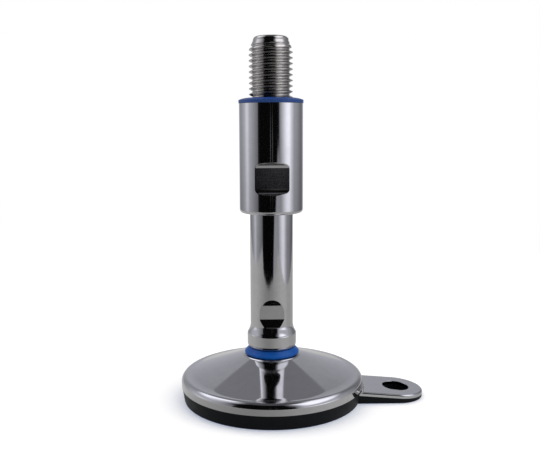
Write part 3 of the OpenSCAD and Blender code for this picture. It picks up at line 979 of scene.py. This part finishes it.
studio = {
    "level": 1.92, "fill": 0.45, "tint": (0.96, 0.98, 1.07),
    # brightness round the foot near the horizon
    "low": [(-180, 0.31), (-165, 0.29), (-152, 0.235), (-144, 0.21), (-132, 0.25), (-120, 0.31), (-110, 0.38),
            (-103, 0.51), (-96, 0.60), (-90, 0.51), (-84, 0.38), (-70, 0.28), (-54, 0.17), (-49.5, 0.15),
            (-47, 0.01), (-40, 0.002), (24, 0.002), (28, 0.015), (31, 0.17), (42, 0.44), (54, 0.75),
            (60, 0.87), (68, 0.90), (73, 0.74), (79, 0.55), (91, 0.30), (102, 0.27), (132, 0.13),
            (146, 0.14), (158, 0.25), (180, 0.30)],
    # brightness above the brink
    "high": [(-180, 0.145), (-141, 0.17), (-137, 0.82), (-120, 0.94), (-108, 0.86), (-96, 0.60), (-84, 0.45),
             (-66, 0.22), (-52, 0.002), (20, 0.002), (30, 0.10), (38, 0.34), (46, 0.80), (58, 0.98),
             (104, 0.94), (120, 0.70), (135, 0.55), (139, 0.15), (180, 0.135)],
    # the brink's height, in hundreds of degrees
    "brink": [(-180, 0.325), (-170, 0.352), (-160, 0.392), (-155, 0.410), (-145, 0.43), (-120, 0.36),
              (-70, 0.30), (60, 0.28), (90, 0.36), (120, 0.45), (150, 0.455), (157, 0.435), (167, 0.40),
              (173, 0.355), (180, 0.33)],
    "sideBlur": 7.0, "backBlur": 0.8, "top": 0.06, "topFrom": (62.0, 74.0),
    "cap": 0.37, "capFrom": (2.0, 8.0), "under": 0.66, "underFrom": (-9.0, 0.0),
    "gapMiddle": 1.3, "gapApart": 3.6, "gapEdge": (0.3, 1.3), "gapLevel": 0.075,
    "gleamLean": 1.45, "gleamEdge": (24.0, 28.0), "gleamLevel": 0.22,
}


def frontLights(tree, degrees, rise):
    # in the dark front: a pair of thin lit gaps, and a slanting gleam to the right of them
    offset = doMath(tree, "ABSOLUTE", doMath(tree, "SUBTRACT", degrees, studio["gapMiddle"]))
    aside = doMath(tree, "ABSOLUTE", doMath(tree, "SUBTRACT", offset, studio["gapApart"]))
    line = remap(tree, aside, *studio["gapEdge"], studio["gapLevel"], 0.0, "SMOOTHSTEP")
    # the gaps start low, are brightest at the table's level and fade above it
    started, rising, faded = (remap(tree, rise, *span) for span in
                             ((-7.0, -5.0, 0.0, 1.0), (-5.5, -1.2, 0.25, 1.0), (-0.8, 1.2, 1.0, 0.12)))
    glint = doMath(tree, "MULTIPLY", doMath(tree, "MINIMUM", rising, faded), started)
    gap = doMath(tree, "MULTIPLY", line, glint)
    slant = doMath(tree, "SUBTRACT", degrees, doMath(tree, "MULTIPLY", rise, studio["gleamLean"]))
    gleam = doMath(tree, "MULTIPLY", remap(tree, slant, *studio["gleamEdge"], 0.0, studio["gleamLevel"]),
                   remap(tree, rise, -3.0, -1.0, 1.0, 0.0))
    ahead = remap(tree, doMath(tree, "ABSOLUTE", degrees), 35.0, 40.0, 1.0, 0.0)
    return gap, doMath(tree, "MULTIPLY", gleam, ahead)


def makeStudio():
    world = bpy.data.worlds.new("studio")
    bpy.context.scene.world = world
    world.use_nodes = True
    tree = world.node_tree
    link = tree.links.new
    tree.nodes.clear()
    azimuth, z = viewAzimuth(tree, addNode(tree, "ShaderNodeTexCoord").outputs["Generated"])
    rise = doMath(tree, "DEGREES", doMath(tree, "ARCSINE", z))
    degrees = doMath(tree, "DEGREES", azimuth)
    # the room dims below the table's level, and its bright strips are capped a little above it
    cap = remap(tree, rise, *studio["capFrom"], 1.1, studio["cap"], "SMOOTHSTEP")
    low = doMath(tree, "MINIMUM", azimuthRamp(tree, azimuth, studio["low"]), cap)
    dim = remap(tree, rise, *studio["underFrom"], studio["under"], 1.0)
    gap, gleam = frontLights(tree, degrees, rise)
    nearLow = doMath(tree, "MAXIMUM", doMath(tree, "ADD", doMath(tree, "MULTIPLY", low, dim), gap), gleam)
    # softboxes at the sides and a grey roof behind begin at the brink, which is crisp at the back only
    brink = doMath(tree, "MULTIPLY", azimuthRamp(tree, azimuth, studio["brink"]), 100.0)
    turnedBy = doMath(tree, "ABSOLUTE", degrees)
    blur = remap(tree, turnedBy, 130.0, 145.0, studio["sideBlur"], studio["backBlur"])
    start, end = doMath(tree, "SUBTRACT", brink, blur), doMath(tree, "ADD", brink, blur)
    isHigh = remap(tree, rise, start, end, 0.0, 1.0, "SMOOTHSTEP")
    isTop = remap(tree, rise, *studio["topFrom"], 0.0, 1.0, "SMOOTHSTEP")
    sides = mixColour(tree, isHigh, nearLow, azimuthRamp(tree, azimuth, studio["high"]))
    around = mixColour(tree, isTop, sides, (studio["top"],) * 3)
    cool = addNode(tree, "ShaderNodeVectorMath", {1: studio["tint"]}, operation="MULTIPLY")
    link(around, cool.inputs[0])
    mirrored = addNode(tree, "ShaderNodeBackground", {"Strength": studio["level"]})
    link(cool.outputs[0], mirrored.inputs["Color"])
    fill, white = (addNode(tree, "ShaderNodeBackground", {"Color": (1.0, 1.0, 1.0, 1.0), "Strength": level})
                   for level in (studio["fill"], 1.0))
    rays = addNode(tree, "ShaderNodeLightPath").outputs
    lit = mixShader(tree, isMirrored(tree, rays), fill, mirrored)
    seen = mixShader(tree, rays["Is Camera Ray"], lit, white)
    link(seen.outputs[0], addNode(tree, "ShaderNodeOutputWorld").inputs["Surface"])


softboxes = {
    "left": {"azimuth": -112.0, "rise": 50.0, "spread": 60.0, "strength": 0.78},
    "right": {"azimuth": 80.0, "rise": 50.0, "spread": 60.0, "strength": 1.06},
    "back": {"azimuth": 175.0, "rise": 62.0, "spread": 50.0, "strength": 0.56},
}


def makeSoftboxes():
    # wide soft lamps that light the rubber and the table; the steel mirrors the studio instead
    for name, box in softboxes.items():
        lamp = bpy.data.lights.new(name + "Softbox", "SUN")
        lamp.energy = box["strength"]
        lamp.angle = math.radians(box["spread"])
        holder = inScene(name + "Softbox", lamp)
        a, e = math.radians(box["azimuth"]), math.radians(box["rise"])
        across = fromView(math.sin(a) * math.cos(e), -math.cos(a) * math.cos(e))
        holder.location = Vector((across[0], across[1], math.sin(e)))
        holder.rotation_euler = (-holder.location).to_track_quat("-Z", "Y").to_euler()
        holder.visible_camera = False
        holder.visible_glossy = False


makeStudio()
makeSoftboxes()
print("studio lit")


# camera at the photo's viewpoint

view = {"place": (-0.788, -408.04, 153.74), "pitch": 7.639, "roll": -0.004, "lens": 49.105}


def makeCamera():
    data = bpy.data.cameras.new("photoCamera")
    data.sensor_width = 36.0
    data.lens = view["lens"]
    data.clip_start, data.clip_end = 0.01, 20.0
    camera = inScene("photoCamera", data)
    across = fromView(view["place"][0] * mm, view["place"][1] * mm)
    tilt = Matrix.Rotation(math.radians(90 - view["pitch"]), 4, "X") @ Matrix.Rotation(view["roll"], 4, "Z")
    spin = Matrix.Rotation(viewTurn, 4, "Z") @ tilt
    camera.matrix_world = Matrix.Translation((across[0], across[1], view["place"][2] * mm)) @ spin
    bpy.context.scene.camera = camera
    bpy.context.scene.view_settings.view_transform = "Standard"


makeCamera()
print("camera set")
